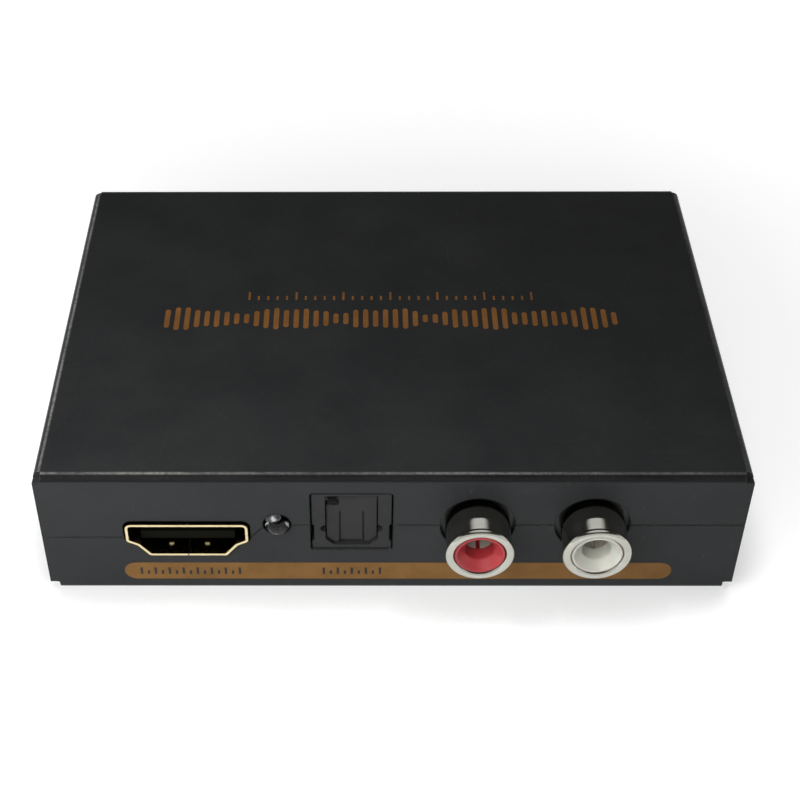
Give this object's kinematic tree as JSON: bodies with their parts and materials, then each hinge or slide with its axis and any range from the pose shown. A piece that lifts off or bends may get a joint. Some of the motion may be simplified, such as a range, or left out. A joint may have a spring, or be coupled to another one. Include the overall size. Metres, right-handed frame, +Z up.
{
  "type": "hdmi audio extractor",
  "caption": "Flat folded-steel box with video sockets front and rear, an optical output with a shutter, red and white phono jacks, a power socket and a slide switch.",
  "frame": {"origin": "middle of the case's underside, where it lies on a table", "axes": "+X right along the front panel as seen from the front, -Y out of the front panel with the phono jacks, +Z up"},
  "size_m": [0.086, 0.0671, 0.02],
  "materials": {
    "case_paint": "satin",
    "black_screw": "satin",
    "plated_steel": "satin",
    "board_green": "satin",
    "gold_plate": "satin",
    "black_insulator": "matte",
    "clear_lens": "gloss",
    "tinned_leads": "satin",
    "optical_black": "satin",
    "spring_wire": "gloss",
    "emitter_resin": "gloss",
    "jack_black": "satin",
    "nickel": "gloss",
    "red_plastic": "gloss",
    "white_plastic": "gloss",
    "socket_black": "satin",
    "brown_board": "matte",
    "knob_black": "satin",
    "chip_resin": "matte",
    "crystal_can": "satin",
    "ferrite": "matte",
    "black_base": "matte",
    "can_aluminium": "satin",
    "tan_ceramic": "matte",
    "black_ceramic": "matte"
  },
  "bodies": {
    "case": {"top_cover": "case_paint", "bottom_tray": "case_paint", "cover_posts": "plated_steel", "case_screws": "black_screw", "board_standoffs": "plated_steel", "board_screws": "plated_steel", "circuit_board": "board_green", "hdmi_out_shell": "gold_plate", "hdmi_out_insulator": "black_insulator", "hdmi_out_contacts": "gold_plate", "hdmi_in_shell": "gold_plate", "hdmi_in_insulator": "black_insulator", "hdmi_in_contacts": "gold_plate", "status_lamp": "clear_lens", "lamp_leads": "tinned_leads", "optical_housing": "optical_black", "shutter_spring": "spring_wire", "optical_emitter": "emitter_resin", "emitter_leads": "tinned_leads", "optical_back_cover": "optical_black", "jack_body": "jack_black", "red_jack_sleeve": "nickel", "white_jack_sleeve": "nickel", "red_jack_insert": "red_plastic", "white_jack_insert": "white_plastic", "jack_contacts": "nickel", "power_socket_body": "socket_black", "power_centre_pin": "nickel", "power_terminals": "tinned_leads", "switch_frame": "plated_steel", "switch_base": "brown_board", "switch_pins": "tinned_leads", "video_chip": "chip_resin", "video_chip_leads": "tinned_leads", "audio_chip": "chip_resin", "memory_chip": "chip_resin", "small_chip_leads": "tinned_leads", "voltage_regulators": "chip_resin", "regulator_leads": "tinned_leads", "crystal_can": "crystal_can", "power_inductor": "ferrite", "inductor_base": "black_base", "capacitor_cans": "can_aluminium", "capacitor_bases": "black_base", "ceramic_capacitors": "tan_ceramic", "chip_resistors": "black_ceramic"},
    "shutter": {"optical_shutter": "optical_black"},
    "knob": {"mode_knob": "knob_black"}
  },
  "joints": [
    {"name": "optical_shutter_swing", "type": "hinge", "parent": "case", "child": "shutter", "pos_m": [-0.0049, -0.029, 0.01565], "axis": [1, 0, 0], "range_deg": [0, 80], "stiffness_Nm_per_rad": 0.0002, "springref_deg": -28.65, "deforming": ["shutter_spring"]},
    {"name": "mode_slide", "type": "slide", "parent": "case", "child": "knob", "axis": [1, 0, 0], "range_m": [-0.002, 0.002]}
  ]
}
